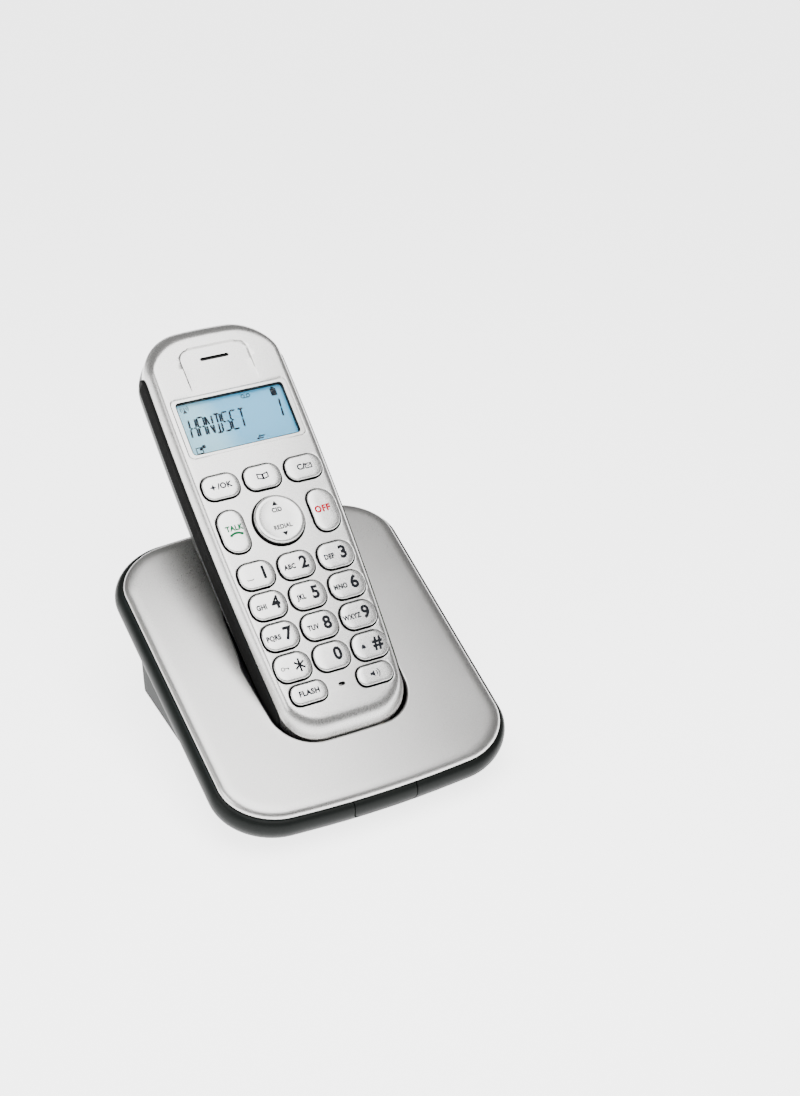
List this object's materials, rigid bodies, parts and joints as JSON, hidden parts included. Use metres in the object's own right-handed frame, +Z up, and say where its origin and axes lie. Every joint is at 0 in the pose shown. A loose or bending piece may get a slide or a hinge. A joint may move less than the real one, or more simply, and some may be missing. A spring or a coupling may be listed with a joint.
{
  "type": "cordless phone with base",
  "caption": "Cordless telephone handset leaning in a low wedge-shaped charging base; the handset lifts out, its keys press and its battery door slides.",
  "frame": {"origin": "centre of the whole object's footprint, on the desk", "axes": "+Z up, -Y towards the user (the base's low front edge), +X to the user's right"},
  "size_m": [0.0958, 0.1402, 0.1036],
  "materials": {
    "silver_paint": "satin silver paint over moulded plastic",
    "silver_key": "glossy silver paint, printed legends",
    "charcoal_plastic": "fine satin moulding",
    "black_plastic": "plain moulding",
    "grip_rubber": "fine diamond knurl",
    "foot_rubber": "matte",
    "membrane_rubber": "matte silicone",
    "plated_contact": "bright plated",
    "screw_steel": "zinc plated",
    "antenna_strip": "tinned",
    "board_laminate": "solder mask",
    "clear_window": "clear, polished",
    "display_glass": "pale blue, segment display",
    "light_guide": "white",
    "cell_wrap": "printed sleeve"
  },
  "bodies": {
    "base": {"base_antenna": "antenna_strip", "base_circuit_board": "board_laminate", "base_lower_housing": "charcoal_plastic", "base_screw_front_left": "screw_steel", "base_screw_front_right": "screw_steel", "base_screw_rear_left": "screw_steel", "base_screw_rear_right": "screw_steel", "base_skirt": "charcoal_plastic", "base_top_cover": "silver_paint", "cradle_contact_left": "plated_contact", "cradle_contact_right": "plated_contact", "cradle_liner": "black_plastic", "foot_front_left": "foot_rubber", "foot_front_right": "foot_rubber", "foot_rear_left": "foot_rubber", "foot_rear_right": "foot_rubber", "line_jack": "black_plastic", "page_switch": "black_plastic", "power_jack": "black_plastic"},
    "handset": {"handset_front_shell": "silver_paint", "handset_rear_shell": "charcoal_plastic", "grip_left": "grip_rubber", "grip_right": "grip_rubber", "display_window": "clear_window", "display_panel": "display_glass", "display_backlight": "light_guide", "keypad_membrane": "membrane_rubber", "handset_circuit_board": "board_laminate", "earpiece_speaker": "black_plastic", "loudspeaker": "black_plastic", "microphone": "screw_steel", "battery_cell_left": "cell_wrap", "battery_cell_right": "cell_wrap", "handset_contact_left": "plated_contact", "handset_contact_right": "plated_contact"},
    "clear_key": {"clear_key": "silver_key"},
    "flash_key": {"flash_key": "silver_key"},
    "key_0": {"key_0": "silver_key"},
    "key_1": {"key_1": "silver_key"},
    "key_2": {"key_2": "silver_key"},
    "key_3": {"key_3": "silver_key"},
    "key_4": {"key_4": "silver_key"},
    "key_5": {"key_5": "silver_key"},
    "key_6": {"key_6": "silver_key"},
    "key_7": {"key_7": "silver_key"},
    "key_8": {"key_8": "silver_key"},
    "key_9": {"key_9": "silver_key"},
    "key_pound": {"key_pound": "silver_key"},
    "key_star": {"key_star": "silver_key"},
    "menu_key": {"menu_key": "silver_key"},
    "nav_key": {"nav_key": "silver_key"},
    "off_key": {"off_key": "silver_key"},
    "phonebook_key": {"phonebook_key": "silver_key"},
    "speaker_key": {"speaker_key": "silver_key"},
    "talk_key": {"talk_key": "silver_key"},
    "page_key": {"page_key": "charcoal_plastic"},
    "battery_door": {"battery_door": "charcoal_plastic"}
  },
  "joints": [
    {"name": "handset_lift", "type": "slide", "parent": "base", "child": "handset", "axis": [0, 0.8039, 0.5948], "range_m": [0, 0.09]},
    {"name": "clear_key_press", "type": "slide", "parent": "handset", "child": "clear_key", "axis": [0, 0.5948, -0.8039], "range_m": [0, 0.0007], "stiffness_N_per_m": 300},
    {"name": "flash_key_press", "type": "slide", "parent": "handset", "child": "flash_key", "axis": [0, 0.5948, -0.8039], "range_m": [0, 0.0007], "stiffness_N_per_m": 300},
    {"name": "key_0_press", "type": "slide", "parent": "handset", "child": "key_0", "axis": [0, 0.5948, -0.8039], "range_m": [0, 0.0007], "stiffness_N_per_m": 300},
    {"name": "key_1_press", "type": "slide", "parent": "handset", "child": "key_1", "axis": [0, 0.5948, -0.8039], "range_m": [0, 0.0007], "stiffness_N_per_m": 300},
    {"name": "key_2_press", "type": "slide", "parent": "handset", "child": "key_2", "axis": [0, 0.5948, -0.8039], "range_m": [0, 0.0007], "stiffness_N_per_m": 300},
    {"name": "key_3_press", "type": "slide", "parent": "handset", "child": "key_3", "axis": [0, 0.5948, -0.8039], "range_m": [0, 0.0007], "stiffness_N_per_m": 300},
    {"name": "key_4_press", "type": "slide", "parent": "handset", "child": "key_4", "axis": [0, 0.5948, -0.8039], "range_m": [0, 0.0007], "stiffness_N_per_m": 300},
    {"name": "key_5_press", "type": "slide", "parent": "handset", "child": "key_5", "axis": [0, 0.5948, -0.8039], "range_m": [0, 0.0007], "stiffness_N_per_m": 300},
    {"name": "key_6_press", "type": "slide", "parent": "handset", "child": "key_6", "axis": [0, 0.5948, -0.8039], "range_m": [0, 0.0007], "stiffness_N_per_m": 300},
    {"name": "key_7_press", "type": "slide", "parent": "handset", "child": "key_7", "axis": [0, 0.5948, -0.8039], "range_m": [0, 0.0007], "stiffness_N_per_m": 300},
    {"name": "key_8_press", "type": "slide", "parent": "handset", "child": "key_8", "axis": [0, 0.5948, -0.8039], "range_m": [0, 0.0007], "stiffness_N_per_m": 300},
    {"name": "key_9_press", "type": "slide", "parent": "handset", "child": "key_9", "axis": [0, 0.5948, -0.8039], "range_m": [0, 0.0007], "stiffness_N_per_m": 300},
    {"name": "key_pound_press", "type": "slide", "parent": "handset", "child": "key_pound", "axis": [0, 0.5948, -0.8039], "range_m": [0, 0.0007], "stiffness_N_per_m": 300},
    {"name": "key_star_press", "type": "slide", "parent": "handset", "child": "key_star", "axis": [0, 0.5948, -0.8039], "range_m": [0, 0.0007], "stiffness_N_per_m": 300},
    {"name": "menu_key_press", "type": "slide", "parent": "handset", "child": "menu_key", "axis": [0, 0.5948, -0.8039], "range_m": [0, 0.0007], "stiffness_N_per_m": 300},
    {"name": "nav_key_rock", "type": "hinge", "parent": "handset", "child": "nav_key", "pos_m": [0, 0.00332, 0.0633], "axis": [1, 0, 0], "range_deg": [-3, 3], "stiffness_Nm_per_rad": 0.005},
    {"name": "off_key_press", "type": "slide", "parent": "handset", "child": "off_key", "axis": [0, 0.5948, -0.8039], "range_m": [0, 0.0007], "stiffness_N_per_m": 300},
    {"name": "phonebook_key_press", "type": "slide", "parent": "handset", "child": "phonebook_key", "axis": [0, 0.5948, -0.8039], "range_m": [0, 0.0007], "stiffness_N_per_m": 300},
    {"name": "speaker_key_press", "type": "slide", "parent": "handset", "child": "speaker_key", "axis": [0, 0.5948, -0.8039], "range_m": [0, 0.0007], "stiffness_N_per_m": 300},
    {"name": "talk_key_press", "type": "slide", "parent": "handset", "child": "talk_key", "axis": [0, 0.5948, -0.8039], "range_m": [0, 0.0007], "stiffness_N_per_m": 300},
    {"name": "page_key_press", "type": "slide", "parent": "base", "child": "page_key", "axis": [0, 0.9455, 0.3256], "range_m": [0, 0.0008], "stiffness_N_per_m": 300},
    {"name": "battery_door_slide", "type": "slide", "parent": "handset", "child": "battery_door", "axis": [0, -0.8039, -0.5948], "range_m": [0, 0.007]}
  ]
}
